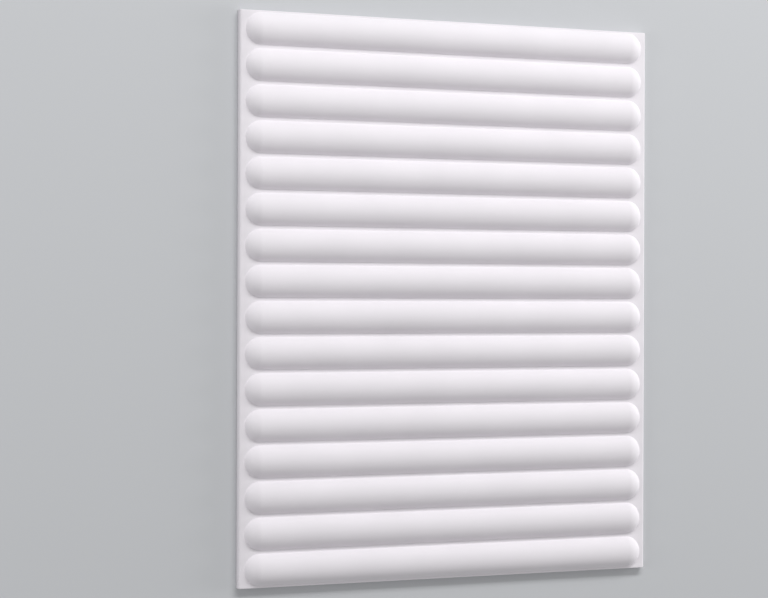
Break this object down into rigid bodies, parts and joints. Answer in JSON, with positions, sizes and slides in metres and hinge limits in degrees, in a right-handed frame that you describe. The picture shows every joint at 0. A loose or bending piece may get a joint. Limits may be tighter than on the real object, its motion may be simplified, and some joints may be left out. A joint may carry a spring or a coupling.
{
  "type": "fluted wall panel",
  "caption": "Rectangular moulded wall panel with a plain flat back and a face of close-set convex reeds with domed ends, glued to a wall as decorative relief.",
  "frame": {"origin": "centre of the flat back face, which lies on the floor", "axes": "+X along the reeds, +Y across the reeds, which is up when the panel hangs as pictured, +Z out of the reeded face"},
  "size_m": [0.4, 0.5, 0.0145],
  "materials": {
    "primed_polyurethane": "matt white factory primer on moulded rigid polyurethane"
  },
  "bodies": {
    "root": {"fluted_panel": "primed_polyurethane"}
  },
  "joints": []
}
